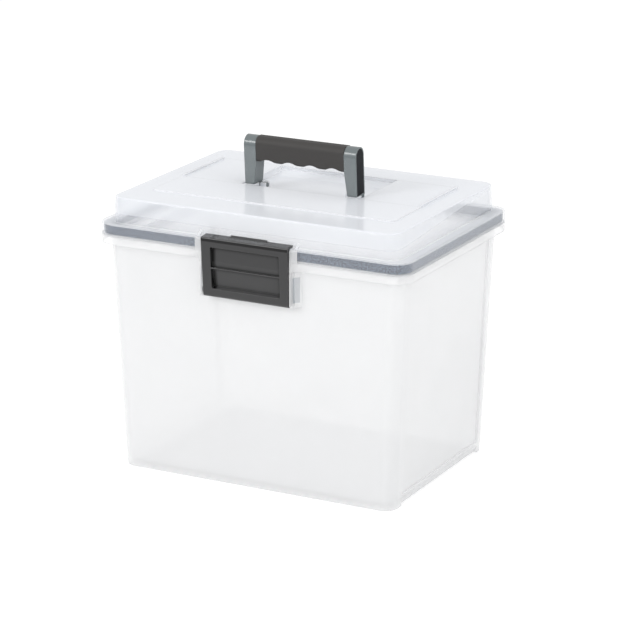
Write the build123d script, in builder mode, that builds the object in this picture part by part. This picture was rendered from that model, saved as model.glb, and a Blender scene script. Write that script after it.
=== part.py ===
from build123d import *
import os
from math import cos, radians, sin

os.makedirs("parts", exist_ok=True)

# Frame: +Z up, front is -Y, right is +X, origin at the middle of the base on the table.

# ---------------------------------------------------------------- overall sizes
rim_width = 350.5            # across the flange, the widest measure of the box
rim_depth = 250.0
rim_radius = 20.0
flange_top = 248.3
side_ledge = 9.25            # flange beyond the tote wall, left and right
end_ledge = 8.25             # the same, front and back
side_draft = 10.5            # how far each wall leans in from flange to table
end_draft = 6.25
corner_radius = 14.0
seat_gap = 0.3               # loose pieces that rest on each other
soft_gap = 0.2
running_gap = 0.06           # round pin in its hole
fit_gap = 0.1                # fixed piece in its pocket
bond = 0.5                   # overlap where two bodies are joined
past = 1.0                   # how far a cut runs past the face it opens

# ---------------------------------------------------------------- tote
tote_wall = 2.2
floor_thickness = 3.0
floor_bevel = 5.0
flange_thickness = 2.0
skirt_thickness = 2.0
skirt_height = 8.7
underside_recess = 1.0
foot_ring = 15.0
foot_rib = 8.0
panel_inset = 2.5
panel_foot = 12.0            # top of the corner feet under the side panels
front_post = 22.0
back_post = 18.0
side_bevel_height = 8.0
side_bevel_width = 4.0
rail_shelf = 2.5
rail_lip = 3.0
rail_lip_height = 10.0
rail_drop = 5.3              # rail top below the flange top
rail_offset = 10.5           # hanging-file hooks ride this far in from the wall
upstand_height = 0.8
upstand_width = 3.0
upstand_inset = 5.5          # bead in from the flange edge at the sides
upstand_step = 3.5           # bead out from the tote wall at front and back
flange_bevel = 0.5

# ---------------------------------------------------------------- lid
lid_wall = 2.0
lid_rim_height = 12.4
roof_thickness = 1.8
platform_side_step = 13.25   # lid rim edge to platform wall, left and right
platform_end_step = 7.5
platform_radius = 14.0
platform_draft = 1.0
platform_rise = 26.6
platform_skirt_gap = 1.2
panel_rise = 1.2
panel_step = 0.5             # back half of the panel below the front half
panel_side_margin = 24.6
panel_front_margin = 43.0
panel_back_margin = 40.0
panel_radius = 4.0
panel_split = 12.0           # step between the halves, in front of the middle
guard_width = 2.4
guard_height = 1.6
well_side_gap = 4.5
well_slope = 2.0
well_front_gap = 1.3
well_back_gap = 17.5
well_floor_gap = 0.5
well_ramp = 14.0             # length of the finger scoop behind the folded grip
well_ramp_rise = 3.0
edge_round = 1.8
rim_chamfer = 0.8
gusset_height = 5.0
gusset_width = 2.0
gusset_gap = 4.4             # gusset outboard of the ear face

# ---------------------------------------------------------------- handle
leg_outer = 64.0
leg_thickness = 10.5         # at the foot
leg_flare = 3.0              # extra thickness by the height of the grip
handle_depth = 18.4
handle_reach = 54.2          # top of the bail from its pivot line
handle_lean = radians(4.0)   # the standing bail leans this far to the front
pivot_offset = 5.0           # pivot behind the middle plane of the bail
pivot_drop = 2.8             # pivot below the lid panel
tongue_radius = 3.2
axle_radius = 2.5
axle_length = 8.0
core_depth = 8.0
core_height = 12.0
core_drop = 11.5
core_radius = 2.0
grip_depth = 18.0
grip_height = 24.3
grip_wave = 1.6
grip_pitch = 24.9
grip_arcs = 9
grip_radius = 7.0
grip_low_radius = 3.0
inlay_depth = 1.2
inlay_border = 1.5
inlay_foot = 1.2
lug_width = 6.0
lug_half_depth = 4.5
lug_gap = 1.5                # bearing inboard of the leg
snap_opening = 4.2

# ---------------------------------------------------------------- buckle
buckle_half_width = 48.75
buckle_taper = 0.65          # narrower at the bottom, each side
buckle_proud = 5.0           # front face beyond the rim at the top
buckle_lean = 4.0            # front face further back at the bottom
buckle_axis_setback = 4.0    # trunnion line behind the rim front
buckle_axis_drop = 42.3      # trunnion line below the flange top
buckle_heel = 5.0            # bottom edge below the trunnion line
heel_cut = 1.5
hub_gap = 0.7
buckle_skin = 1.2
buckle_side = 3.5
hook_thickness = 1.5
hook_rise = 1.0              # hook plate higher at its back edge
hook_gap = 0.7
tab_half_width = 20.5
tab_depth = 2.2
tab_rise = 1.4
window_side = 9.9
window_sill = 8.6
window_head = 9.5
window_radius = 1.0
window_reach = 6.0           # how far in the window cut may go
window_slope = 24.0
window_rib = 1.2
cheek_drop = 1.0             # cheek top below the tote skirt
cheek_gap = 2.0              # cheek clear of the tote wall
cheek_fall = 5.0
trunnion_radius = 3.0
trunnion_bite = 1.7          # how far a trunnion goes into its ear
trunnion_end_gap = 0.2
nub_drop = 2.6
nub_rise = 0.25
nub_radius = 1.2
nub_setback = 3.2
ear_gap = 0.9
ear_thickness = 2.8
ear_root = 8.0
ear_root_step = 3.0
ear_foot = 5.5               # ear bottom below the trunnion line
ear_head = 1.0
ear_setback = 2.4
ear_corner = 4.0
ear_flare = 5.2              # ear wider by this where it meets the rim
ear_web_width = 16.0
ear_web_thickness = 1.5

# ---------------------------------------------------------------- gasket
gasket_width = 5.0
gasket_bevel = 0.9

# ---------------------------------------------------------------- rear hinge
knuckle_radius = 3.5
hinge_setback = 6.4          # hinge line behind the rim
hinge_drop = 3.3             # hinge line below the flange top
hinge_web = 4.6
hinge_arm_rise = 3.0
knuckle_width = 8.0
knuckle_gap = 0.5
knuckle_count = 5
hinge_inset = 60.25          # middle of each hinge in from the rim side
pin_radius = 1.5
pin_bevel = 0.3

# ---------------------------------------------------------------- derived
mouth_width = rim_width - 2 * side_ledge
mouth_depth = rim_depth - 2 * end_ledge
base_width = mouth_width - 2 * side_draft
base_depth = mouth_depth - 2 * end_draft
skirt_bottom = flange_top - skirt_height
rail_top = flange_top - rail_drop
rail_center = mouth_width / 2 - rail_offset

lid_skirt_bottom = flange_top + seat_gap
lid_roof_top = lid_skirt_bottom + lid_rim_height
roof_bottom = lid_roof_top - roof_thickness
platform_width = rim_width - 2 * platform_side_step
platform_depth = rim_depth - 2 * platform_end_step
platform_bottom = flange_top + platform_skirt_gap
margin_top = lid_roof_top + platform_rise
panel_top = margin_top + panel_rise
panel_half_width = platform_width / 2 - panel_side_margin
panel_front = platform_depth / 2 - panel_front_margin
panel_back = platform_depth / 2 - panel_back_margin

pivot_y = pivot_offset
pivot_z = panel_top - pivot_drop
foot_bottom = panel_top + seat_gap
leg_inner = leg_outer - leg_thickness
leg_inner_top = leg_inner - leg_flare
core_center = handle_reach - core_drop
grip_bottom = handle_reach - grip_height
well_half_width = leg_outer + well_side_gap
well_front = handle_depth / 2 + well_front_gap
well_back = pivot_y + handle_reach + well_back_gap
well_floor = pivot_z + pivot_y - handle_depth / 2 - well_floor_gap
well_shelf = well_floor + well_ramp_rise

buckle_axis_y = -rim_depth / 2 + buckle_axis_setback
buckle_axis_z = flange_top - buckle_axis_drop
buckle_bottom = buckle_axis_z - buckle_heel
front_reach = rim_depth / 2 + buckle_proud
hook_bottom = lid_roof_top + seat_gap
buckle_top = hook_bottom + hook_thickness
hook_back = -platform_depth / 2 - hook_gap
skin_back = -rim_depth / 2 - 2 * seat_gap
window_half_width = buckle_half_width - window_side
window_bottom = buckle_bottom + window_sill
window_top = buckle_top - window_head
ear_inner = buckle_half_width + ear_gap
ear_bottom = buckle_axis_z - ear_foot
ear_top = lid_roof_top + ear_head
ear_front = -front_reach + ear_setback

hinge_axis_y = rim_depth / 2 + hinge_setback
hinge_axis_z = flange_top - hinge_drop
knuckle_step = knuckle_width + knuckle_gap
hinge_center = rim_width / 2 - hinge_inset
hinge_start = hinge_center - (knuckle_count * knuckle_step - knuckle_gap) / 2


def outer_half_width(z):
    return (base_width + (mouth_width - base_width) * z / flange_top) / 2


def outer_half_depth(z):
    return (base_depth + (mouth_depth - base_depth) * z / flange_top) / 2


def crossed(front_outline, side_outline):
    with BuildPart() as block:
        with BuildSketch(Plane.XZ):
            with BuildLine():
                Polyline(*front_outline, close=True)
            make_face()
        extrude(amount=rim_depth, both=True)
        with BuildSketch(Plane.YZ):
            with BuildLine():
                Polyline(*side_outline, close=True)
            make_face()
        extrude(amount=rim_width, both=True, mode=Mode.INTERSECT)
    return block


def tapered(low, high, low_half, high_half, radius, bevel=0.0):
    outlines = [[(-low_half[axis], low), (low_half[axis], low),
                 (high_half[axis], high), (-high_half[axis], high)] for axis in (0, 1)]
    with BuildPart() as block:
        add(crossed(*outlines))
        fillet([edge for edge in block.edges() if abs(edge.tangent_at(0.5).Z) > 0.9], radius=radius)
        if bevel:
            chamfer(block.faces().sort_by(Axis.Z)[0].edges(), length=bevel)
    return block


def side_plane(x):
    return Plane(origin=(x, pivot_y, pivot_z), x_dir=(0, cos(handle_lean), sin(handle_lean)),
                 z_dir=(1, 0, 0))


front_plane = Plane(origin=(0, pivot_y, pivot_z), x_dir=(1, 0, 0),
                    z_dir=(0, -cos(handle_lean), -sin(handle_lean)))
buckle_hub = -buckle_axis_y - outer_half_depth(buckle_axis_z) - hub_gap


# ================================================================ tote
with BuildPart() as tote:
    under_flange = flange_top - flange_thickness
    add(tapered(0, under_flange, (base_width / 2, base_depth / 2),
                (outer_half_width(under_flange), outer_half_depth(under_flange)), corner_radius))

    # flange with its turned-down skirt and the bead under the gasket
    with BuildSketch(Plane.XY.offset(under_flange)):
        RectangleRounded(rim_width, rim_depth, rim_radius)
    extrude(amount=flange_thickness)
    chamfer(tote.faces().sort_by(Axis.Z)[-1].edges(), length=flange_bevel)
    with BuildSketch(Plane.XY.offset(skirt_bottom)):
        RectangleRounded(rim_width, rim_depth, rim_radius)
        RectangleRounded(rim_width - 2 * skirt_thickness, rim_depth - 2 * skirt_thickness,
                         rim_radius - skirt_thickness, mode=Mode.SUBTRACT)
    extrude(amount=skirt_height - flange_thickness)
    bead_width = rim_width - 2 * upstand_inset
    bead_depth = mouth_depth + 2 * upstand_step
    with BuildSketch(Plane.XY.offset(flange_top)):
        RectangleRounded(bead_width, bead_depth, corner_radius + upstand_width)
        RectangleRounded(bead_width - 2 * upstand_width, bead_depth - 2 * upstand_width,
                         corner_radius, mode=Mode.SUBTRACT)
    extrude(amount=upstand_height)

    # buckle ears standing out from the front wall
    ear_wall = -outer_half_depth(ear_bottom) + tote_wall
    for side in (-1, 1):
        with BuildSketch(Plane.XY.offset(ear_bottom)):
            with BuildLine():
                Polyline((side * ear_inner, ear_wall),
                         (side * (ear_inner + ear_root), ear_wall),
                         (side * (ear_inner + ear_root), ear_wall - ear_root_step),
                         (side * (ear_inner + ear_thickness), ear_wall - ear_root),
                         (side * (ear_inner + ear_thickness), ear_front),
                         (side * ear_inner, ear_front),
                         close=True)
            make_face()
        extrude(amount=skirt_bottom + bond - ear_bottom)
        for low, high, back in ((skirt_bottom, flange_top, -rim_depth / 2 + bond),
                                (flange_top, ear_top, skin_back)):
            with BuildSketch(Plane.XY.offset(low)):
                with BuildLine():
                    Polyline((side * ear_inner, back), (side * ear_inner, ear_front),
                             (side * (ear_inner + ear_thickness), ear_front),
                             (side * (ear_inner + ear_thickness + ear_flare), back - bond),
                             (side * (ear_inner + ear_thickness + ear_flare), back),
                             close=True)
                make_face()
            extrude(amount=high - low)
        with BuildSketch(Plane.XY.offset(skirt_bottom)):
            with Locations((side * (ear_inner + ear_web_width / 2), (ear_wall - rim_depth / 2) / 2)):
                Rectangle(ear_web_width, ear_wall + rim_depth / 2)
        extrude(amount=ear_web_thickness)
    with BuildSketch(Plane.YZ):
        with Locations((ear_front, ear_bottom), (ear_front, ear_top)):
            Rectangle(ear_corner, ear_corner, rotation=45)
    extrude(amount=ear_inner + ear_root, both=True, mode=Mode.SUBTRACT)
    with BuildSketch(Plane.YZ):
        with Locations((buckle_axis_y, buckle_axis_z)):
            Circle(trunnion_radius + running_gap)
    extrude(amount=ear_inner + trunnion_bite + trunnion_end_gap, both=True, mode=Mode.SUBTRACT)

    # rear hinge: three of every five knuckles belong to the tote
    for side in (-1, 1):
        for index in range(0, knuckle_count, 2):
            start = hinge_start + index * knuckle_step
            near = side * start if side > 0 else side * (start + knuckle_width)
            with BuildSketch(Plane.YZ.offset(near)):
                with Locations((hinge_axis_y, hinge_axis_z)):
                    Circle(knuckle_radius)
                with Locations((hinge_axis_y - (hinge_setback + skirt_thickness) / 2, hinge_axis_z)):
                    Rectangle(hinge_setback + skirt_thickness, hinge_web)
            extrude(amount=knuckle_width)
    with BuildSketch(Plane.YZ):
        with Locations((hinge_axis_y, hinge_axis_z)):
            Circle(pin_radius + running_gap)
    extrude(amount=rim_width / 2, both=True, mode=Mode.SUBTRACT)

    # cavity with a bevelled floor edge
    add(tapered(floor_thickness, flange_top,
                (outer_half_width(floor_thickness) - tote_wall, outer_half_depth(floor_thickness) - tote_wall),
                (mouth_width / 2 - tote_wall, mouth_depth / 2 - tote_wall),
                corner_radius - tote_wall, floor_bevel), mode=Mode.SUBTRACT)

    # side panels pulled in between the corner posts, walls kept even behind them
    shelf_top = rail_top - rail_lip_height + rail_shelf
    panel_low = panel_foot
    panel_high = shelf_top - rail_shelf
    panel_start = -base_depth / 2 + front_post
    panel_end = base_depth / 2 - back_post
    for side in (-1, 1):
        skin = tote_wall + panel_inset
        with BuildSketch(Plane.XZ.offset(-panel_end - tote_wall)):
            with BuildLine():
                Polyline((side * (outer_half_width(panel_low) - skin), panel_low - tote_wall),
                         (side * (outer_half_width(panel_low) - soft_gap), panel_low - tote_wall),
                         (side * (outer_half_width(panel_high) - soft_gap), panel_high + tote_wall),
                         (side * (outer_half_width(panel_high) - skin), panel_high + tote_wall),
                         close=True)
            make_face()
        extrude(amount=panel_end - panel_start + 2 * tote_wall)
        with BuildSketch(Plane.XZ.offset(-panel_end)):
            with BuildLine():
                Polyline((side * (outer_half_width(panel_low) - panel_inset), panel_low),
                         (side * (outer_half_width(panel_low) + past), panel_low),
                         (side * (outer_half_width(panel_high) + past), panel_high),
                         (side * (outer_half_width(panel_high) - panel_inset), panel_high),
                         close=True)
            make_face()
        extrude(amount=panel_end - panel_start, mode=Mode.SUBTRACT)

        # side bottom edge lifted off the table between the corner feet
        with BuildSketch(Plane.XZ.offset(-panel_end)):
            with BuildLine():
                Polyline((side * (base_width / 2 - side_bevel_width), 0),
                         (side * (base_width / 2 + side_draft), 0),
                         (side * (base_width / 2 + side_draft), side_bevel_height),
                         (side * outer_half_width(side_bevel_height), side_bevel_height),
                         close=True)
            make_face()
        extrude(amount=panel_end - panel_start, mode=Mode.SUBTRACT)

    # hanging-file rails moulded along both side walls
    rail_length = mouth_depth - 2 * corner_radius - 2 * floor_bevel
    for side in (-1, 1):
        shelf_outer = outer_half_width(shelf_top) - tote_wall / 2
        shelf_inner = rail_center - rail_lip / 2
        with BuildSketch(Plane.XY.offset(shelf_top - rail_shelf)):
            with Locations((side * (shelf_outer + shelf_inner) / 2, 0)):
                Rectangle(shelf_outer - shelf_inner, rail_length)
        extrude(amount=rail_shelf)
        with BuildSketch(Plane.XY.offset(shelf_top - rail_shelf)):
            with Locations((side * rail_center, 0)):
                Rectangle(rail_lip, rail_length)
        extrude(amount=rail_lip_height)

    # underside lifted in four fields, leaving the foot ring and a cross of ribs on the table
    field_width = (base_width - 2 * foot_ring - foot_rib) / 2
    field_depth = (base_depth - 2 * foot_ring - foot_rib) / 2
    with BuildSketch(Plane.XY):
        with GridLocations(field_width + foot_rib, field_depth + foot_rib, 2, 2):
            Rectangle(field_width, field_depth)
    extrude(amount=underside_recess, mode=Mode.SUBTRACT)

# ================================================================ lid
with BuildPart() as lid:
    with BuildSketch(Plane.XY.offset(lid_skirt_bottom)):
        RectangleRounded(rim_width, rim_depth, rim_radius)
    extrude(amount=lid_rim_height)
    chamfer(lid.faces().sort_by(Axis.Z)[-1].edges(), length=rim_chamfer)
    with BuildSketch(Plane.XY.offset(lid_skirt_bottom)):
        RectangleRounded(rim_width - 2 * skirt_thickness, rim_depth - 2 * skirt_thickness,
                         rim_radius - skirt_thickness)
    extrude(amount=lid_rim_height - roof_thickness, mode=Mode.SUBTRACT)

    # raised platform
    add(tapered(platform_bottom, margin_top, (platform_width / 2, platform_depth / 2),
                (platform_width / 2 - platform_draft, platform_depth / 2 - platform_draft),
                platform_radius))
    fillet(lid.faces().sort_by(Axis.Z)[-1].edges(), radius=edge_round)

    # raised panel in two halves, the back one a little lower between two guard ribs
    for rise, back in ((panel_rise - panel_step, panel_back), (panel_rise, -panel_split)):
        with BuildSketch(Plane.XY.offset(margin_top - bond)):
            with Locations((0, (panel_back - panel_front) / 2)):
                RectangleRounded(2 * panel_half_width, panel_back + panel_front, panel_radius)
            with Locations((0, (back - panel_front) / 2)):
                Rectangle(2 * panel_half_width, back + panel_front, mode=Mode.INTERSECT)
        extrude(amount=rise + bond)
    with BuildSketch(Plane.XY.offset(margin_top - bond)):
        with Locations((panel_half_width - guard_width / 2, (panel_back - panel_radius - panel_split) / 2),
                       (-panel_half_width + guard_width / 2, (panel_back - panel_radius - panel_split) / 2)):
            Rectangle(guard_width, panel_back - panel_radius + panel_split)
    extrude(amount=panel_rise + guard_height + bond)

    # hollow inside
    add(tapered(platform_bottom, margin_top - lid_wall,
                (platform_width / 2 - lid_wall, platform_depth / 2 - lid_wall),
                (platform_width / 2 - lid_wall - platform_draft,
                 platform_depth / 2 - lid_wall - platform_draft),
                platform_radius - lid_wall), mode=Mode.SUBTRACT)

    # the well: a tray let into the top for the folded handle, with a finger scoop behind it
    tray_top = margin_top - bond
    scoop = well_back - well_ramp
    add(crossed([(-well_half_width - lid_wall, tray_top), (well_half_width + lid_wall, tray_top),
                 (well_half_width - well_slope + lid_wall, well_floor - lid_wall),
                 (-well_half_width + well_slope - lid_wall, well_floor - lid_wall)],
                [(-well_front - lid_wall, tray_top), (-well_front - lid_wall, well_floor - lid_wall),
                 (scoop, well_floor - lid_wall), (well_back, well_shelf - lid_wall),
                 (well_back + lid_wall, well_shelf), (well_back + lid_wall, tray_top)]))
    add(crossed([(-well_half_width, panel_top + past), (well_half_width, panel_top + past),
                 (well_half_width - well_slope, well_floor), (-well_half_width + well_slope, well_floor)],
                [(-well_front, panel_top + past), (-well_front, well_floor), (scoop, well_floor),
                 (well_back, well_shelf), (well_back, panel_top + past)]), mode=Mode.SUBTRACT)

    # blocks the handle feet rest on, and a snap bearing for each axle
    for side in (-1, 1):
        with BuildSketch(Plane.XY.offset(well_floor - bond)):
            with Locations((side * (leg_outer + leg_inner) / 2, -well_front / 2)):
                Rectangle(leg_thickness + 2 * bond, well_front + 2 * bond)
        extrude(amount=panel_top - well_floor + bond)
        lug_start = leg_inner - lug_gap - lug_width
        near = lug_start if side > 0 else -lug_start - lug_width
        with BuildSketch(Plane.YZ.offset(near)):
            with Locations((pivot_y, (well_floor + panel_top - bond) / 2)):
                Rectangle(2 * lug_half_depth, panel_top - well_floor + bond)
            with Locations((pivot_y, pivot_z)):
                Circle(axle_radius + running_gap, mode=Mode.SUBTRACT)
            with Locations((pivot_y, pivot_z + axle_radius + past)):
                Rectangle(snap_opening, 2 * axle_radius, mode=Mode.SUBTRACT)
        extrude(amount=lug_width)

    # small gussets between platform and rim beside the buckle
    gusset_foot = -rim_depth / 2 + rim_chamfer
    for side in (-1, 1):
        start = side * (ear_inner + gusset_gap + gusset_width / 2) - gusset_width / 2
        with BuildSketch(Plane.YZ.offset(start)):
            with BuildLine():
                Polyline((gusset_foot, lid_roof_top), (gusset_foot, lid_roof_top - bond),
                         (-platform_depth / 2 + bond, lid_roof_top - bond),
                         (-platform_depth / 2 + bond, lid_roof_top + gusset_height),
                         (-platform_depth / 2, lid_roof_top + gusset_height),
                         close=True)
            make_face()
        extrude(amount=gusset_width)

    # rear hinge knuckles on arms that reach down past the flange
    for side in (-1, 1):
        for index in range(1, knuckle_count, 2):
            start = hinge_start + index * knuckle_step
            near = side * start if side > 0 else side * (start + knuckle_width)
            with BuildSketch(Plane.YZ.offset(near)):
                with BuildLine():
                    Polyline((hinge_axis_y - knuckle_radius, hinge_axis_z),
                             (hinge_axis_y + knuckle_radius, hinge_axis_z),
                             (hinge_axis_y + knuckle_radius, lid_skirt_bottom + hinge_arm_rise),
                             (rim_depth / 2 - skirt_thickness / 2, roof_bottom),
                             (rim_depth / 2 - skirt_thickness / 2, lid_skirt_bottom),
                             (hinge_axis_y - knuckle_radius, lid_skirt_bottom),
                             close=True)
                make_face()
                with Locations((hinge_axis_y, hinge_axis_z)):
                    Circle(knuckle_radius)
                with Locations((hinge_axis_y, hinge_axis_z)):
                    Circle(pin_radius + running_gap, mode=Mode.SUBTRACT)
            extrude(amount=knuckle_width)

# ================================================================ gasket
with BuildPart() as gasket:
    gasket_bottom = flange_top + upstand_height + soft_gap
    gasket_outer_inset = 2 * (skirt_thickness + seat_gap)
    gasket_inner_inset = gasket_outer_inset + 2 * gasket_width
    with BuildSketch(Plane.XY.offset(gasket_bottom)):
        RectangleRounded(rim_width - gasket_outer_inset, rim_depth - gasket_outer_inset,
                         rim_radius - gasket_outer_inset / 2)
        RectangleRounded(rim_width - gasket_inner_inset, rim_depth - gasket_inner_inset,
                         rim_radius - gasket_inner_inset / 2, mode=Mode.SUBTRACT)
    extrude(amount=roof_bottom - soft_gap - gasket_bottom)
    chamfer(gasket.faces().sort_by(Axis.Z)[0].edges(), length=gasket_bevel)

# ================================================================ buckle
face_height = buckle_top - buckle_bottom
face_plane = Plane(origin=(0, -front_reach, buckle_top), x_dir=(1, 0, 0),
                   z_dir=(0, -face_height, -buckle_lean))


def face_y(z):
    return -front_reach + buckle_lean * (buckle_top - z) / face_height


cheek_top = skirt_bottom - cheek_drop
low_half = buckle_half_width - buckle_taper
bar_top = buckle_axis_z + buckle_hub + past
skin_low = face_y(window_bottom) + window_reach
with BuildPart() as window:
    with BuildSketch(face_plane):
        with Locations((0, (window_bottom + window_top) / 2 - buckle_top)):
            RectangleRounded(2 * window_half_width, window_top - window_bottom, window_radius)
    extrude(amount=-window_reach, taper=window_slope)
    with BuildSketch(Plane.YZ):
        with BuildLine():
            Polyline((face_y(window_top) - past, window_bottom - past),
                     (face_y(window_top) - past, window_top + past),
                     (skin_back - buckle_skin, window_top + past),
                     (skin_back - buckle_skin, cheek_top),
                     (skin_low - buckle_skin, window_bottom - past),
                     close=True)
        make_face()
    extrude(amount=window_half_width, both=True, mode=Mode.INTERSECT)
    with BuildSketch(Plane.XZ.offset(front_reach)):
        with Locations((0, (window_bottom + window_top) / 2)):
            Rectangle(2 * window_half_width, window_rib)
    extrude(amount=-front_reach + rim_depth / 2, mode=Mode.SUBTRACT)

with BuildPart() as buckle:
    add(crossed([(-low_half, buckle_bottom), (low_half, buckle_bottom),
                 (buckle_half_width, buckle_top + hook_rise), (-buckle_half_width, buckle_top + hook_rise)],
                [(face_y(buckle_bottom + heel_cut), buckle_bottom + heel_cut),
                 (-front_reach, buckle_top),
                 (hook_back, buckle_top + hook_rise),
                 (hook_back, hook_bottom),
                 (skin_back, hook_bottom),
                 (skin_back, cheek_top),
                 (-outer_half_depth(cheek_top) - cheek_gap, cheek_top - cheek_fall),
                 (buckle_axis_y + buckle_hub, buckle_axis_z),
                 (buckle_axis_y, buckle_axis_z - buckle_hub),
                 (face_y(buckle_bottom) + heel_cut, buckle_bottom)]))
    fillet(buckle.edges().filter_by(Axis.X).sort_by(Axis.Y)[0], radius=hook_thickness)

    # hollow behind the skin between the cheeks, open to the tote wall
    with BuildSketch(Plane.YZ):
        with BuildLine():
            Polyline((skin_back, cheek_top + bond), (skin_low, window_bottom - bond),
                     (skin_low, bar_top), (-outer_half_depth(0), bar_top),
                     (-outer_half_depth(0), cheek_top + bond),
                     close=True)
        make_face()
    extrude(amount=low_half - buckle_side, both=True, mode=Mode.SUBTRACT)
    add(window, mode=Mode.SUBTRACT)

    # raised tab at the back of the hook
    with BuildSketch(Plane.YZ):
        with BuildLine():
            Polyline((hook_back, hook_bottom), (hook_back, buckle_top + hook_rise + tab_rise),
                     (hook_back - tab_depth, buckle_top + hook_rise), (hook_back - tab_depth, hook_bottom),
                     close=True)
        make_face()
    extrude(amount=tab_half_width, both=True)

    # trunnions and detent nubs
    for side in (-1, 1):
        with BuildSketch(Plane.YZ.offset(side * (low_half - past))):
            with Locations((buckle_axis_y, buckle_axis_z)):
                Circle(trunnion_radius)
        extrude(amount=side * (ear_inner + trunnion_bite - low_half + past))
        with BuildSketch(Plane.YZ.offset(side * (low_half - past))):
            with Locations((face_y(skirt_bottom) + nub_setback, skirt_bottom - nub_drop)):
                Circle(nub_radius)
        extrude(amount=side * (buckle_half_width + nub_rise - low_half + past))

# ================================================================ handle frame
top_radius = handle_depth / 2
leg_low = foot_bottom - pivot_z - past
shoulder = handle_reach - top_radius
with BuildPart() as handle_frame:
    for side in (-1, 1):
        with BuildSketch(front_plane.offset(pivot_offset)):
            with BuildLine():
                Polyline((side * leg_outer, leg_low), (side * leg_outer, handle_reach),
                         (side * leg_inner_top, handle_reach), (side * leg_inner_top, grip_bottom - grip_wave),
                         (side * leg_inner, leg_low), close=True)
            make_face()
        extrude(amount=handle_depth / 2, both=True)
    with BuildSketch(side_plane(0)):
        with Locations((-pivot_offset, (leg_low + shoulder) / 2)):
            Rectangle(handle_depth, shoulder - leg_low)
        with Locations((-pivot_offset, shoulder)):
            Circle(top_radius)
    extrude(amount=leg_outer, both=True, mode=Mode.INTERSECT)
    with BuildSketch(Plane.XY.offset(foot_bottom)):
        Rectangle(2 * leg_outer + past, 2 * handle_depth)
    extrude(amount=-3 * past, mode=Mode.SUBTRACT)

    # tongues down to the pivot line, each with its axle, and the bar inside the grip
    for side in (-1, 1):
        with BuildSketch(side_plane(side * leg_outer)):
            with Locations((0, tongue_radius / 2)):
                Rectangle(2 * tongue_radius, tongue_radius)
            with Locations((0, 0)):
                Circle(tongue_radius)
        extrude(amount=-side * leg_thickness)
        with BuildSketch(side_plane(side * leg_inner)):
            Circle(axle_radius)
        extrude(amount=-side * axle_length)
    with BuildSketch(side_plane(0)):
        with Locations((-pivot_offset, core_center)):
            RectangleRounded(core_depth, core_height, core_radius)
    extrude(amount=leg_inner_top + past, both=True)

    # shallow pockets for the outer inlays
    inlay_low = leg_low + past + inlay_foot
    inlay_half = handle_depth / 2 - inlay_border
    for side in (-1, 1):
        with BuildSketch(side_plane(side * leg_outer)):
            with Locations((-pivot_offset, (inlay_low + shoulder) / 2)):
                Rectangle(2 * inlay_half, shoulder - inlay_low)
            with Locations((-pivot_offset, shoulder)):
                Circle(inlay_half)
        extrude(amount=-side * inlay_depth, mode=Mode.SUBTRACT)

# ================================================================ grip
grip_half = leg_inner_top - fit_gap
grip_low = grip_bottom - grip_wave
half_pitch = grip_pitch / 2
wave_end = grip_arcs * half_pitch / 2
with BuildPart() as handle_grip:
    with BuildSketch(side_plane(0)):
        with Locations((-pivot_offset, (grip_low + handle_reach) / 2)):
            RectangleRounded(grip_depth, handle_reach - grip_low, grip_radius)
        with Locations((-pivot_offset, grip_low + grip_height / 4)):
            RectangleRounded(grip_depth, grip_height / 2, grip_low_radius)
    extrude(amount=grip_half, both=True)
    with BuildSketch(front_plane.offset(pivot_offset)):
        with BuildLine():
            for index in range(-(grip_arcs // 2), grip_arcs // 2 + 1):
                middle = index * half_pitch
                swing = -grip_wave if index % 2 == 0 else grip_wave
                ThreePointArc((middle - half_pitch / 2, grip_bottom), (middle, grip_bottom + swing),
                              (middle + half_pitch / 2, grip_bottom))
            Polyline((wave_end, grip_bottom), (wave_end, handle_reach),
                     (-wave_end, handle_reach), (-wave_end, grip_bottom))
        make_face()
    extrude(amount=grip_depth, both=True, mode=Mode.INTERSECT)
    with BuildSketch(side_plane(0)):
        with Locations((-pivot_offset, core_center)):
            RectangleRounded(core_depth + 2 * fit_gap, core_height + 2 * fit_gap, core_radius + fit_gap)
    extrude(amount=leg_inner, both=True, mode=Mode.SUBTRACT)


def inlay_on(side):
    with BuildPart() as piece:
        with BuildSketch(side_plane(side * (leg_outer - inlay_depth))):
            with Locations((-pivot_offset, (inlay_low + fit_gap + shoulder) / 2)):
                Rectangle(2 * (inlay_half - fit_gap), shoulder - inlay_low - fit_gap)
            with Locations((-pivot_offset, shoulder)):
                Circle(inlay_half - fit_gap)
        extrude(amount=side * inlay_depth)
    return piece


def hinge_pin_on(side):
    length = knuckle_count * knuckle_step - knuckle_gap
    start = hinge_start if side > 0 else -hinge_start - length
    with BuildPart() as piece:
        with BuildSketch(Plane.YZ.offset(start)):
            with Locations((hinge_axis_y, hinge_axis_z)):
                Circle(pin_radius)
        extrude(amount=length)
        chamfer(piece.edges().filter_by(GeomType.CIRCLE), length=pin_bevel)
    return piece


inlay_left = inlay_on(-1)
inlay_right = inlay_on(1)
hinge_pin_left = hinge_pin_on(-1)
hinge_pin_right = hinge_pin_on(1)

pieces = {
    "tote": tote,
    "lid": lid,
    "gasket": gasket,
    "buckle": buckle,
    "handle_frame": handle_frame,
    "handle_grip": handle_grip,
    "inlay_left": inlay_left,
    "inlay_right": inlay_right,
    "hinge_pin_left": hinge_pin_left,
    "hinge_pin_right": hinge_pin_right,
}
for name, piece in pieces.items():
    piece.part.label = name
    export_step(piece.part, "parts/" + name + ".step")
    box = piece.part.bounding_box()
    print(name, len(piece.part.solids()), round(piece.part.volume), box.min, box.max)
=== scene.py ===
import math

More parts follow.
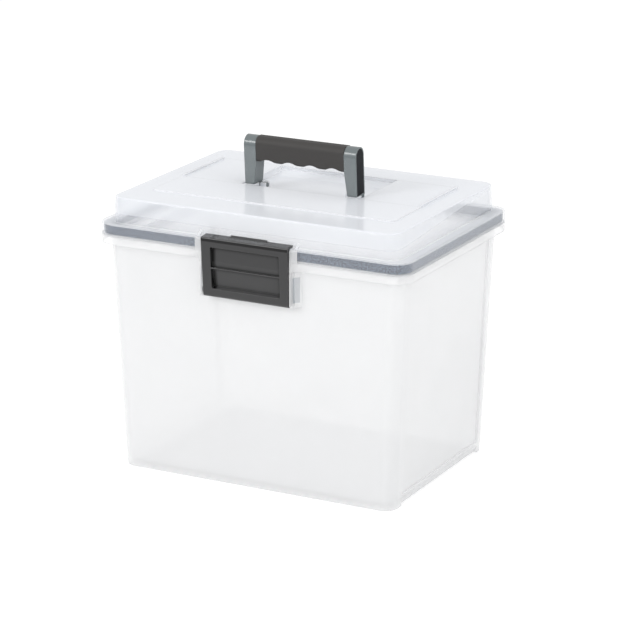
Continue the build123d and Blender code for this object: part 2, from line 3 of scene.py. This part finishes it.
import bpy
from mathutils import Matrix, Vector

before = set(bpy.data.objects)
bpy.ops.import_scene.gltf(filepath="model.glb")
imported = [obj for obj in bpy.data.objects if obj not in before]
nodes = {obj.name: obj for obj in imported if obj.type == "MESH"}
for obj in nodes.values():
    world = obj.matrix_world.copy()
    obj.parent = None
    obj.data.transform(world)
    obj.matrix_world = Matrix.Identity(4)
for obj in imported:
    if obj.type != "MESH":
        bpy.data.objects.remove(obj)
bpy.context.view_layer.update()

# ---------------------------------------------------------------- places on the box, in metres
TOTE_LEDGE = 0.2365                         # the milky wall thins out above this height
LID_RIM = 0.2612                            # top of the rim that holds the seal
LID_TOP, LID_SLOPE = 0.2783, 0.066          # the raised top is all that lies above LID_TOP + LID_SLOPE y
NO_TOP = 0.5                                # a height that nothing reaches
# middle and half size of the right one of two mirrored boxes
EAR_WINDOWS = ((0.0525, -0.1205, 0.2190), (0.0040, 0.0052, 0.0130))
BEARING_BLOCKS = ((0.0550, -0.0015, 0.2830), (0.0110, 0.0115, 0.0055))
BUCKLE_LEAN, BUCKLE_FACE = 0.0647, -0.1130  # the buckle's front is y + BUCKLE_LEAN z = BUCKLE_FACE
BUCKLE_WINDOW_LEFT = -0.0389
# painted shade band just under the buckle hook's rounded top edge
HOOK_SHADE_HEIGHTS = (0.2580, 0.2596, 0.2612, 0.2621)      # heights: shade starts, is full, fades, is gone

# ---------------------------------------------------------------- values that all plastics share
PLASTIC_IOR = 1.49
EDGE_RADIUS, EDGE_GAIN = 0.0009, 4.0
RECESS_DEPTH = 0.004
SPECKLE_SCALE = 620.0
SHADOW_SHARE = 0.4                          # how much of its shadow a translucent wall casts
SLANT_POWER = 5.0                           # how late a translucent wall thickens towards its silhouette


# ---------------------------------------------------------------- shader helpers
def feed(tree, socket, value):
    """A value is a plain number or colour, or the socket of another node."""
    if isinstance(value, bpy.types.NodeSocket):
        tree.links.new(value, socket)
    else:
        socket.default_value = value


def add(tree, kind, inputs=None, **settings):
    node = tree.nodes.new("ShaderNode" + kind)
    for name, value in settings.items():
        setattr(node, name, value)
    for label, value in (inputs or {}).items():
        feed(tree, node.inputs[label], value)
    return node


def calculate(tree, operation, *values, clamp=False):
    return add(tree, "Math", dict(enumerate(values)), operation=operation, use_clamp=clamp).outputs[0]


def ramp(tree, value, low, high, start=0.0, end=1.0, curve="LINEAR"):
    """Goes from start to end while the value goes from low to high."""
    limits = {"Value": value, "From Min": low, "From Max": high, "To Min": start, "To Max": end}
    return add(tree, "MapRange", limits, interpolation_type=curve).outputs["Result"]


def blend(tree, factor, first, second, kind="FLOAT"):
    return add(tree, "Mix", {"Factor": factor, "A": first, "B": second}, data_type=kind).outputs["Result"]


def noise(tree, scale, detail):
    place = add(tree, "TexCoord").outputs["Object"]
    return add(tree, "TexNoise", {"Vector": place, "Scale": scale, "Detail": detail}).outputs["Fac"]


def around_zero(tree, scale, detail):
    return calculate(tree, "SUBTRACT", noise(tree, scale, detail), 0.5)


def where(tree, coordinate="Object"):
    """X, Y and Z of a place on the piece, or with Normal of the way that its surface faces."""
    return add(tree, "SeparateXYZ", {0: add(tree, "TexCoord").outputs[coordinate]}).outputs


def scaled_color(tree, color, share):
    return add(tree, "VectorMath", {0: color, "Scale": share}, operation="SCALE").outputs[0]


def opaque(color):
    return (*color, 1.0)


# ---------------------------------------------------------------- effects that several plastics use
def new_group(name, inputs, outputs):
    """An empty group, with the sockets that bring its inputs in and take its outputs out."""
    tree = bpy.data.node_groups.new(name, "ShaderNodeTree")
    for direction, sockets in (("INPUT", inputs), ("OUTPUT", outputs)):
        for label, kind in sockets.items():
            tree.interface.new_socket(label, in_out=direction, socket_type="NodeSocket" + kind)
    return tree, tree.nodes.new("NodeGroupInput").outputs, tree.nodes.new("NodeGroupOutput").inputs


def use(tree, group, **values):
    node = add(tree, "Group", node_tree=group)
    for label, value in values.items():
        feed(tree, node.inputs[label.replace("_", " ")], value)
    return node.outputs


def mould_grain_group():
    """Spark-eroded mould grain: a height and a small change of roughness."""
    tree, given, result = new_group(
        "mould_grain", {"Scale": "Float", "Base Roughness": "Float", "Roughness Spread": "Float"},
        {"Height": "Float", "Roughness": "Float"})
    feed(tree, result["Height"], noise(tree, given["Scale"], detail=2.0))
    patches = around_zero(tree, scale=9.0, detail=3.0)
    feed(tree, result["Roughness"],
         calculate(tree, "MULTIPLY_ADD", patches, given["Roughness Spread"], given["Base Roughness"]))
    return tree


def soft_edge_group():
    """Small moulding radius on every sharp edge: the rounded normal and a mask of the edge itself."""
    tree, given, result = new_group(
        "soft_edge", {"Gain": "Float", "Radius": "Float"}, {"Normal": "Vector", "Edge": "Float"})
    rounded = add(tree, "Bevel", {"Radius": given["Radius"]}, samples=6).outputs["Normal"]
    flat = add(tree, "NewGeometry").outputs["Normal"]
    agree = add(tree, "VectorMath", {0: rounded, 1: flat}, operation="DOT_PRODUCT").outputs["Value"]
    turn = calculate(tree, "SUBTRACT", 1.0, agree)
    feed(tree, result["Normal"], rounded)
    feed(tree, result["Edge"], calculate(tree, "MULTIPLY", turn, given["Gain"], clamp=True))
    return tree


def edge_wear_and_highlight_group():
    """Handling wear on solid plastics and a painted highlight on clear ones: a slightly paler colour along
    the edges, broken up by a noise.
    """
    tree, given, result = new_group(
        "edge_wear_and_highlight", {"Color": "Color", "Worn Color": "Color", "Edge": "Float", "Amount": "Float",
                      "Break": "Float"}, {"Color": "Color"})
    unbroken = calculate(tree, "SUBTRACT", 1.0, given["Break"])
    kept = ramp(tree, noise(tree, scale=60.0, detail=3.0), 0.0, 1.0, start=unbroken)
    patch = calculate(tree, "MULTIPLY", kept, given["Edge"])
    strength = calculate(tree, "MULTIPLY", patch, given["Amount"], clamp=True)
    feed(tree, result["Color"], blend(tree, strength, given["Color"], given["Worn Color"], "RGBA"))
    return tree


def recess_shade_group():
    """Painted shade: darker colour where a corner or a recess closes in."""
    closed, open_air = 0.35, 0.95           # shares of the sky that the darkest and the plain colour see
    tree, given, result = new_group(
        "recess_shade", {"Color": "Color", "Depth": "Float", "Darkest": "Float"}, {"Color": "Color"})
    openness = add(tree, "AmbientOcclusion", {"Distance": given["Depth"]}, samples=8, only_local=True)
    shade = ramp(tree, openness.outputs["AO"], closed, open_air, start=given["Darkest"])
    feed(tree, result["Color"], scaled_color(tree, given["Color"], shade))
    return tree


def skin_cover_group():
    """How much one skin of a translucent wall covers, by height and slope, with faint flow marks."""
    soft_step = 0.0006                      # half the height over which two covers meet
    steep, level = 0.35, 0.95               # Z of the normal where a face counts as a wall, and as level
    covers = ["Lower Wall", "Middle Wall", "Upper Wall", "Lower Level", "Middle Level", "Upper Level",
              "Zone Cover"]
    tree, given, result = new_group(
        "skin_cover", dict.fromkeys(covers + ["Step Height", "Top Height", "Top Slope", "Edge", "Edge Cover",
                                              "Flow", "Zone"], "Float"), {"Cover": "Float"})
    spot = where(tree)

    def above(height):
        gap = calculate(tree, "SUBTRACT", spot["Z"], height)
        return ramp(tree, gap, -soft_step, soft_step, curve="SMOOTHSTEP")

    def by_height(kind):
        low = blend(tree, on_step, given["Lower " + kind], given["Middle " + kind])
        return blend(tree, on_top, low, given["Upper " + kind])

    on_step = above(given["Step Height"])
    on_top = above(calculate(tree, "MULTIPLY_ADD", spot["Y"], given["Top Slope"], given["Top Height"]))
    lying = ramp(tree, where(tree, "Normal")["Z"], steep, level)
    plain = blend(tree, lying, by_height("Wall"), by_height("Level"))
    zoned = blend(tree, given["Zone"], plain, given["Zone Cover"])
    marked = calculate(tree, "MULTIPLY_ADD", around_zero(tree, scale=7.0, detail=2.0), given["Flow"], zoned)
    edged = calculate(tree, "MULTIPLY_ADD", given["Edge"], given["Edge Cover"], marked, clamp=True)
    feed(tree, result["Cover"], edged)
    return tree


def twin_box_group():
    """1 inside a box and inside its mirror image on the other side of the middle."""
    soft_side = 0.0003
    tree, given, result = new_group(
        "twin_box", {"Center": "Vector", "Half Size": "Vector"}, {"Inside": "Float"})
    spot = where(tree)
    folded = add(tree, "CombineXYZ", {"X": calculate(tree, "ABSOLUTE", spot["X"]), "Y": spot["Y"],
                                      "Z": spot["Z"]}).outputs[0]
    off = add(tree, "VectorMath", {0: folded, 1: given["Center"]}, operation="SUBTRACT").outputs[0]
    reach = add(tree, "VectorMath", {0: off}, operation="ABSOLUTE").outputs[0]
    past = add(tree, "VectorMath", {0: reach, 1: given["Half Size"]}, operation="SUBTRACT").outputs[0]
    sides = add(tree, "SeparateXYZ", {0: past}).outputs
    worst = calculate(tree, "MAXIMUM", calculate(tree, "MAXIMUM", sides["X"], sides["Y"]), sides["Z"])
    feed(tree, result["Inside"], ramp(tree, worst, soft_side, -soft_side))
    return tree


def speckle_group():
    """Fine speckle of a filled rubber: the colour moves between two shades."""
    all_dark, all_pale = 0.40, 0.60
    tree, given, result = new_group(
        "speckle", {"Dark": "Color", "Pale": "Color", "Scale": "Float"}, {"Color": "Color"})
    spread = ramp(tree, noise(tree, given["Scale"], detail=1.0), all_dark, all_pale)
    feed(tree, result["Color"], blend(tree, spread, given["Dark"], given["Pale"], "RGBA"))
    return tree


def buckle_shade_group():
    """Painted shade: a cast shadow down the left side of the buckle's window, and a dark band just under its
    hook's top edge.
    """
    deep_from, deep_full = 0.0003, 0.0010   # behind the buckle's front face
    side_soft, side_full, side_end = 0.0004, 0.0022, 0.0072     # across the window, from its left side
    face_sloping, face_square = -0.5, -0.8  # Y of the normal
    hook_shade_share = 0.65
    tree, given, result = new_group("buckle_shade", {"Color": "Color"}, {"Color": "Color"})
    spot = where(tree)

    def smooth(value, low, high):
        return ramp(tree, value, low, high, curve="SMOOTHSTEP")

    def both(first, second):
        return calculate(tree, "MULTIPLY", first, second)

    behind = calculate(tree, "MULTIPLY_ADD", spot["Z"], BUCKLE_LEAN, spot["Y"])
    deep = smooth(behind, BUCKLE_FACE + deep_from, BUCKLE_FACE + deep_full)
    # painted cast shadow on the window's left wall and the floor beside it
    beside = both(smooth(spot["X"], BUCKLE_WINDOW_LEFT - side_soft, BUCKLE_WINDOW_LEFT),
                  smooth(spot["X"], BUCKLE_WINDOW_LEFT + side_end, BUCKLE_WINDOW_LEFT + side_full))
    # painted shade band on the front face just under the hook's top edge
    hook_shade_foot, hook_shade_full, hook_shade_fading, hook_shade_top = HOOK_SHADE_HEIGHTS
    height = both(smooth(spot["Z"], hook_shade_foot, hook_shade_full), smooth(spot["Z"], hook_shade_top, hook_shade_fading))
    hook_shade = both(height, smooth(where(tree, "Normal")["Y"], face_sloping, face_square))
    shade = calculate(tree, "MAXIMUM", both(deep, beside), both(hook_shade, hook_shade_share))
    left = calculate(tree, "SUBTRACT", 1.0, shade)
    feed(tree, result["Color"], scaled_color(tree, given["Color"], left))
    return tree


MOULD_GRAIN = mould_grain_group()
SOFT_EDGE = soft_edge_group()
EDGE_WEAR_AND_HIGHLIGHT = edge_wear_and_highlight_group()
RECESS_SHADE = recess_shade_group()
SKIN_COVER = skin_cover_group()
TWIN_BOX = twin_box_group()
SPECKLE = speckle_group()
BUCKLE_SHADE = buckle_shade_group()


# ---------------------------------------------------------------- plastics
def start_material(name, **fixed):
    """A material, with the values that are the same all over it set on its shader's own sockets."""
    material = bpy.data.materials.new(name)
    material.use_nodes = True
    surface = material.node_tree.nodes["Principled BSDF"]
    for label, value in fixed.items():
        surface.inputs[label.replace("_", " ")].default_value = value
    return material, material.node_tree, surface.inputs


def grained_plastic(name, color, worn, roughness, grain_scale, grain_depth, wear=0.4, darkest=0.5, gloss=0.5,
                    speckle=None, shade=None, sheen=0.0):
    """Solid-coloured plastic or rubber: mould grain, soft rubbed edges and painted shade in recesses."""
    material, tree, surface = start_material(name, IOR=PLASTIC_IOR, Specular_IOR_Level=gloss,
                                             Sheen_Weight=sheen)
    grain = use(tree, MOULD_GRAIN, Scale=grain_scale, Base_Roughness=roughness,
                Roughness_Spread=0.3 * roughness)
    edge = use(tree, SOFT_EDGE, Gain=EDGE_GAIN, Radius=EDGE_RADIUS)
    shaded = opaque(color)
    if speckle:
        shaded = use(tree, SPECKLE, Dark=shaded, Pale=opaque(speckle), Scale=SPECKLE_SCALE)["Color"]
    # painted shade in corners and recesses
    shaded = use(tree, RECESS_SHADE, Color=shaded, Depth=RECESS_DEPTH, Darkest=darkest)["Color"]
    if shade:
        shaded = use(tree, shade, Color=shaded)["Color"]
    pale_edged = use(tree, EDGE_WEAR_AND_HIGHLIGHT, Color=shaded, Worn_Color=opaque(worn), Edge=edge["Edge"], Amount=wear,
                 Break=1.0)
    bump = add(tree, "Bump", {"Strength": 0.35, "Distance": grain_depth, "Height": grain["Height"],
                              "Normal": edge["Normal"]})
    feed(tree, surface["Base Color"], pale_edged["Color"])
    feed(tree, surface["Roughness"], grain["Roughness"])
    feed(tree, surface["Normal"], bump.outputs["Normal"])
    return material


def clear_plastic(name, color, edge_highlight, zone, roughness, gloss, cover, grazing, edge_gain, edge_radius,
                  grain_scale, grain_depth, zone_color=None):
    """Translucent plastic: each skin of a wall covers part of what lies behind it, more where
    it is seen at a slant, and casts only part of a shadow."""
    material, tree, surface = start_material(name, IOR=PLASTIC_IOR, Specular_IOR_Level=gloss)
    grain = use(tree, MOULD_GRAIN, Scale=grain_scale, Base_Roughness=roughness, Roughness_Spread=0.05)
    edge = use(tree, SOFT_EDGE, Gain=edge_gain, Radius=edge_radius)
    middle, half_size = zone
    inside = use(tree, TWIN_BOX, Center=middle, Half_Size=half_size)["Inside"]
    tone = opaque(color)
    if zone_color:
        tone = blend(tree, inside, tone, opaque(zone_color), "RGBA")
    # painted highlight: a paler colour along the edges of the clear plastic
    pale_edged = use(tree, EDGE_WEAR_AND_HIGHLIGHT, Color=tone, Worn_Color=opaque(edge_highlight), Edge=edge["Edge"], Amount=2.0,
                 Break=0.2)
    bump = add(tree, "Bump", {"Strength": 0.25, "Distance": grain_depth, "Height": grain["Height"],
                              "Normal": edge["Normal"]})
    skin = use(tree, SKIN_COVER, Zone=inside, Edge=edge["Edge"], **cover)["Cover"]
    slant = add(tree, "LayerWeight", {"Blend": 0.5}).outputs["Facing"]
    silhouette = calculate(tree, "POWER", slant, SLANT_POWER)
    thicker = calculate(tree, "MULTIPLY_ADD", silhouette, grazing, skin, clamp=True)
    shadow_ray = add(tree, "LightPath").outputs["Is Shadow Ray"]
    share = ramp(tree, shadow_ray, 0.0, 1.0, start=1.0, end=SHADOW_SHARE)
    feed(tree, surface["Base Color"], pale_edged["Color"])
    feed(tree, surface["Roughness"], grain["Roughness"])
    feed(tree, surface["Normal"], bump.outputs["Normal"])
    feed(tree, surface["Alpha"], calculate(tree, "MULTIPLY", thicker, share))
    return material


milky_tote = clear_plastic(
    "milky_tote_plastic", color=(0.875, 0.878, 0.885), edge_highlight=(0.93, 0.935, 0.94),
    zone=EAR_WINDOWS, zone_color=(0.50, 0.53, 0.56), roughness=0.42, gloss=0.2,
    cover=dict(Lower_Wall=0.44, Middle_Wall=0.38, Upper_Wall=0.38, Lower_Level=0.55, Middle_Level=0.55,
               Upper_Level=0.55, Step_Height=TOTE_LEDGE, Top_Height=NO_TOP, Top_Slope=0.0, Edge_Cover=0.0,
               Flow=0.10, Zone_Cover=0.45),
    grazing=0.35, edge_gain=3.0, edge_radius=EDGE_RADIUS, grain_scale=700.0, grain_depth=0.00005)
clear_lid = clear_plastic(
    "clear_lid_plastic", color=(0.82, 0.84, 0.88), edge_highlight=(0.97, 0.98, 1.0), zone=BEARING_BLOCKS,
    roughness=0.16, gloss=0.5,
    cover=dict(Lower_Wall=0.10, Middle_Wall=0.28, Upper_Wall=0.46, Lower_Level=0.30, Middle_Level=0.75,
               Upper_Level=0.80, Step_Height=LID_RIM, Top_Height=LID_TOP, Top_Slope=LID_SLOPE,
               Edge_Cover=0.40, Flow=0.06, Zone_Cover=0.85),
    grazing=0.5, edge_gain=EDGE_GAIN, edge_radius=0.0015, grain_scale=500.0, grain_depth=0.00002)
seal_rubber = grained_plastic(
    "seal_rubber", color=(0.015, 0.030, 0.056), worn=(0.06, 0.085, 0.12), roughness=0.55,
    grain_scale=900.0, grain_depth=0.00012, wear=0.2, darkest=0.8, speckle=(0.106, 0.142, 0.200), sheen=0.85)
charcoal = grained_plastic(
    "charcoal_plastic", color=(0.061, 0.061, 0.062), worn=(0.13, 0.13, 0.135), roughness=0.22,
    grain_scale=2600.0, grain_depth=0.00005, wear=0.2, darkest=0.05, gloss=0.35, shade=BUCKLE_SHADE)
grey_frame = grained_plastic(
    "grey_handle_plastic", color=(0.150, 0.172, 0.177), worn=(0.32, 0.35, 0.355), roughness=0.17,
    grain_scale=2400.0, grain_depth=0.00003)
soft_grip = grained_plastic(
    "soft_grip", color=(0.044, 0.041, 0.039), worn=(0.10, 0.097, 0.094), roughness=0.62,
    grain_scale=3000.0, grain_depth=0.00007)
dark_inlay = grained_plastic(
    "dark_inlay_plastic", color=(0.010, 0.011, 0.013), worn=(0.02, 0.022, 0.026), roughness=0.45,
    grain_scale=2600.0, grain_depth=0.00004, gloss=0.08)
pin_plastic = grained_plastic(
    "pin_plastic", color=(0.55, 0.57, 0.60), worn=(0.65, 0.67, 0.70), roughness=0.4,
    grain_scale=2000.0, grain_depth=0.00003)

for node, material in {
    "tote": milky_tote, "lid": clear_lid, "gasket": seal_rubber, "buckle": charcoal,
    "handle_frame": grey_frame, "handle_grip": soft_grip, "inlay_left": dark_inlay,
    "inlay_right": dark_inlay, "hinge_pin_left": pin_plastic, "hinge_pin_right": pin_plastic,
}.items():
    slots = nodes[node].data.materials
    slots.clear()
    slots.append(material)

# ---------------------------------------------------------------- floor and room
FLOOR_HALF, FLOOR_HEIGHT = 6.0, -0.0006
FLOOR_WHITE, FLOOR_GLOW = 0.90, 0.20        # the glow is only seen directly, and lights nothing
FLOOR_DARK = 0.25                           # what gloss meets on the camera side of the box
DARK_FROM, DARK_FULL = -0.30, -0.60         # where along Y the dark stretch starts and is complete
ROOM_LEVEL, ROOM_SEEN, ROOM_GLOSS = 0.90, 1.0, -0.08


def seen_directly(tree, path):
    """1 for rays that meet the stage straight from the camera or through plastic."""
    return calculate(tree, "MAXIMUM", path["Is Camera Ray"], path["Is Transmission Ray"])


def floor_material():
    """White sweep; gloss meets a darker stretch of it on the camera side of the box."""
    material, tree, surface = start_material("floor_white", Roughness=0.9, Specular_IOR_Level=0.0,
                                             Emission_Color=(1.0, 1.0, 1.0, 1.0))
    path = add(tree, "LightPath").outputs
    front = ramp(tree, where(tree)["Y"], DARK_FROM, DARK_FULL)
    dim = calculate(tree, "MULTIPLY", front, path["Is Glossy Ray"])
    white, dark = opaque([FLOOR_WHITE] * 3), opaque([FLOOR_DARK] * 3)
    feed(tree, surface["Base Color"], blend(tree, dim, white, dark, "RGBA"))
    glow = calculate(tree, "MULTIPLY", seen_directly(tree, path), FLOOR_GLOW)
    feed(tree, surface["Emission Strength"], glow)
    return material


def light_room():
    """An even white room, a little dimmer where it lights the box than where it is seen."""
    world = bpy.data.worlds.new("studio")
    world.use_nodes = True
    bpy.context.scene.world = world
    tree = world.node_tree
    path = add(tree, "LightPath").outputs
    level = ramp(tree, seen_directly(tree, path), 0.0, 1.0, start=ROOM_LEVEL, end=ROOM_SEEN)
    strength = calculate(tree, "MULTIPLY_ADD", path["Is Glossy Ray"], ROOM_GLOSS, level)
    background = tree.nodes["Background"].inputs
    background["Color"].default_value = (1.0, 1.0, 1.0, 1.0)
    feed(tree, background["Strength"], strength)


floor_mesh = bpy.data.meshes.new("floor")
floor_mesh.from_pydata([(x * FLOOR_HALF, y * FLOOR_HALF, FLOOR_HEIGHT)
                        for x, y in ((-1, -1), (1, -1), (1, 1), (-1, 1))], [], [(0, 1, 2, 3)])
floor_mesh.materials.append(floor_material())
floor = bpy.data.objects.new("floor", floor_mesh)
bpy.context.scene.collection.objects.link(floor)
light_room()


# ---------------------------------------------------------------- lamps and camera
def soft_lamp(name, place, size, power):
    light = bpy.data.lights.new(name, "AREA")
    light.shape = "SQUARE"
    light.size = size
    light.energy = power
    lamp = bpy.data.objects.new(name, light)
    lamp.location = place
    lamp.rotation_euler = (BOX_MIDDLE - Vector(place)).to_track_quat("-Z", "Y").to_euler()
    bpy.context.scene.collection.objects.link(lamp)


BOX_MIDDLE = Vector((0.0, 0.0, 0.150))
AZIMUTH, ELEVATION = math.radians(27.716), math.radians(16.919)
CAMERA_DISTANCE = 2.9986
LENS, SENSOR = 163.05525, 36.0              # millimetres
SHIFT_X, SHIFT_Y = 0.02376, -0.00235

soft_lamp("key_left", (-1.30, -2.29, 1.57), size=0.9, power=24.0)
soft_lamp("fill_right", (2.2, -0.6, 1.1), size=1.2, power=12.0)

away = Vector((math.sin(AZIMUTH) * math.cos(ELEVATION), -math.cos(AZIMUTH) * math.cos(ELEVATION),
               math.sin(ELEVATION)))
camera_data = bpy.data.cameras.new("camera")
camera_data.sensor_width = SENSOR
camera_data.lens = LENS
camera_data.shift_x = SHIFT_X
camera_data.shift_y = SHIFT_Y
camera_data.clip_end = 50.0
camera = bpy.data.objects.new("camera", camera_data)
camera.location = BOX_MIDDLE + away * CAMERA_DISTANCE
camera.rotation_euler = (-away).to_track_quat("-Z", "Y").to_euler()
bpy.context.scene.collection.objects.link(camera)
bpy.context.scene.camera = camera
bpy.context.scene.view_settings.view_transform = "Standard"
